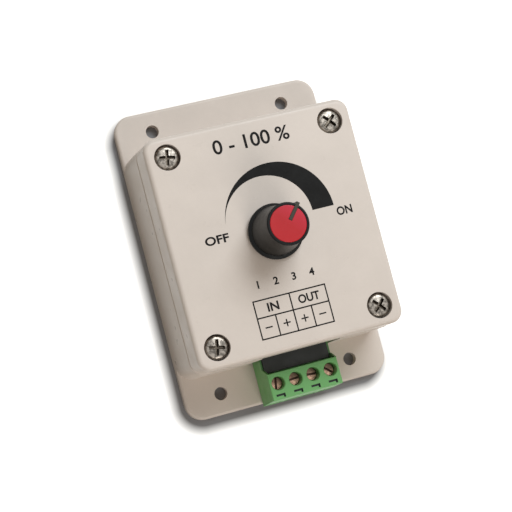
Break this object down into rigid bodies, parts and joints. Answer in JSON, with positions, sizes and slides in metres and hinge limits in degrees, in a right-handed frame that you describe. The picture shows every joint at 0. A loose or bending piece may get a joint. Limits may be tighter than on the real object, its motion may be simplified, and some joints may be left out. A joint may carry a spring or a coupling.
{
  "type": "dc dimmer",
  "caption": "Low-voltage dimmer in a flanged beige box, with a black turn knob with a red cap on the lid and a green plug-in screw terminal.",
  "frame": {"origin": "middle of the mounting plate's back face", "axes": "+Z out of the lid, along the knob; +Y up the label, away from the terminal; +X to the label's right"},
  "size_m": [0.06, 0.0888, 0.0464],
  "materials": {
    "case_plastic": "fine satin moulding, warm light beige",
    "knob_plastic": "satin black moulding",
    "cap_plastic": "satin red disc",
    "terminal_plastic": "satin green moulding",
    "black_plastic": "matt black moulding",
    "plated_steel": "nickel plated",
    "terminal_screw_metal": "nickel-plated brass, yellowish",
    "zinc": "die-cast",
    "tinned_brass": "tinned",
    "board_green": "glass-fibre board with solder mask",
    "board_brown": "phenolic board",
    "capacitor_sleeve": "printed sleeve, bare",
    "resistor_body": "lacquered",
    "wire_red": "insulation",
    "wire_white": "insulation",
    "wire_black": "insulation"
  },
  "bodies": {
    "case": {"base_case": "case_plastic", "board_screw_1": "plated_steel", "board_screw_2": "plated_steel", "board_screw_3": "plated_steel", "board_screw_4": "plated_steel", "ceramic_capacitor": "resistor_body", "circuit_board": "board_green", "diode_1": "black_plastic", "diode_2": "black_plastic", "header_housing": "black_plastic", "header_pin_1": "tinned_brass", "header_pin_2": "tinned_brass", "header_pin_3": "tinned_brass", "header_pin_4": "tinned_brass", "lid": "case_plastic", "lid_screw_1": "plated_steel", "lid_screw_2": "plated_steel", "lid_screw_3": "plated_steel", "lid_screw_4": "plated_steel", "pot_case": "plated_steel", "pot_frame": "zinc", "pot_lugs": "tinned_brass", "pot_nut": "plated_steel", "pot_track": "board_brown", "pot_washer": "plated_steel", "pot_wire_1": "wire_red", "pot_wire_2": "wire_white", "pot_wire_3": "wire_black", "resistor_1": "resistor_body", "resistor_2": "resistor_body", "resistor_3": "resistor_body", "supply_capacitor": "capacitor_sleeve", "timer_chip": "black_plastic", "transistor_body": "black_plastic", "transistor_legs": "tinned_brass", "transistor_tab": "plated_steel"},
    "knob": {"knob_body": "knob_plastic", "knob_cap": "cap_plastic", "pot_shaft": "zinc", "pot_wiper": "black_plastic"},
    "plug": {"plug_housing": "terminal_plastic", "plug_contact_1": "tinned_brass", "plug_contact_2": "tinned_brass", "plug_contact_3": "tinned_brass", "plug_contact_4": "tinned_brass"},
    "plug_screw_1": {"plug_screw_1": "terminal_screw_metal"},
    "plug_clamp_1": {"plug_clamp_1": "plated_steel"},
    "plug_screw_2": {"plug_screw_2": "terminal_screw_metal"},
    "plug_clamp_2": {"plug_clamp_2": "plated_steel"},
    "plug_screw_3": {"plug_screw_3": "terminal_screw_metal"},
    "plug_clamp_3": {"plug_clamp_3": "plated_steel"},
    "plug_screw_4": {"plug_screw_4": "terminal_screw_metal"},
    "plug_clamp_4": {"plug_clamp_4": "plated_steel"}
  },
  "joints": [
    {"name": "knob_turn", "type": "hinge", "parent": "case", "child": "knob", "pos_m": [0, 0, 0.039], "axis": [0, 0, 1], "range_deg": [-110, 190]},
    {"name": "plug_pull", "type": "slide", "parent": "case", "child": "plug", "axis": [0, -1, 0], "range_m": [0, 0.012]},
    {"name": "clamp_rise_1", "type": "slide", "parent": "plug", "child": "plug_clamp_1", "axis": [0, 0, 1], "range_m": [0, 0.0018]},
    {"name": "screw_turn_1", "type": "hinge", "parent": "plug", "child": "plug_screw_1", "pos_m": [-0.00604, -0.03915, 0.0115], "axis": [0, 0, 1], "range_deg": [-1300, 0]},
    {"name": "clamp_rise_2", "type": "slide", "parent": "plug", "child": "plug_clamp_2", "axis": [0, 0, 1], "range_m": [0, 0.0018]},
    {"name": "screw_turn_2", "type": "hinge", "parent": "plug", "child": "plug_screw_2", "pos_m": [-0.00096, -0.03915, 0.0115], "axis": [0, 0, 1], "range_deg": [-1300, 0]},
    {"name": "clamp_rise_3", "type": "slide", "parent": "plug", "child": "plug_clamp_3", "axis": [0, 0, 1], "range_m": [0, 0.0018]},
    {"name": "screw_turn_3", "type": "hinge", "parent": "plug", "child": "plug_screw_3", "pos_m": [0.00412, -0.03915, 0.0115], "axis": [0, 0, 1], "range_deg": [-1300, 0]},
    {"name": "clamp_rise_4", "type": "slide", "parent": "plug", "child": "plug_clamp_4", "axis": [0, 0, 1], "range_m": [0, 0.0018]},
    {"name": "screw_turn_4", "type": "hinge", "parent": "plug", "child": "plug_screw_4", "pos_m": [0.0092, -0.03915, 0.0115], "axis": [0, 0, 1], "range_deg": [-1300, 0]}
  ],
  "couplings": [
    {"joint": "screw_turn_1", "follows": "clamp_rise_1", "rad_per_m": -12566},
    {"joint": "screw_turn_2", "follows": "clamp_rise_2", "rad_per_m": -12566},
    {"joint": "screw_turn_3", "follows": "clamp_rise_3", "rad_per_m": -12566},
    {"joint": "screw_turn_4", "follows": "clamp_rise_4", "rad_per_m": -12566}
  ]
}
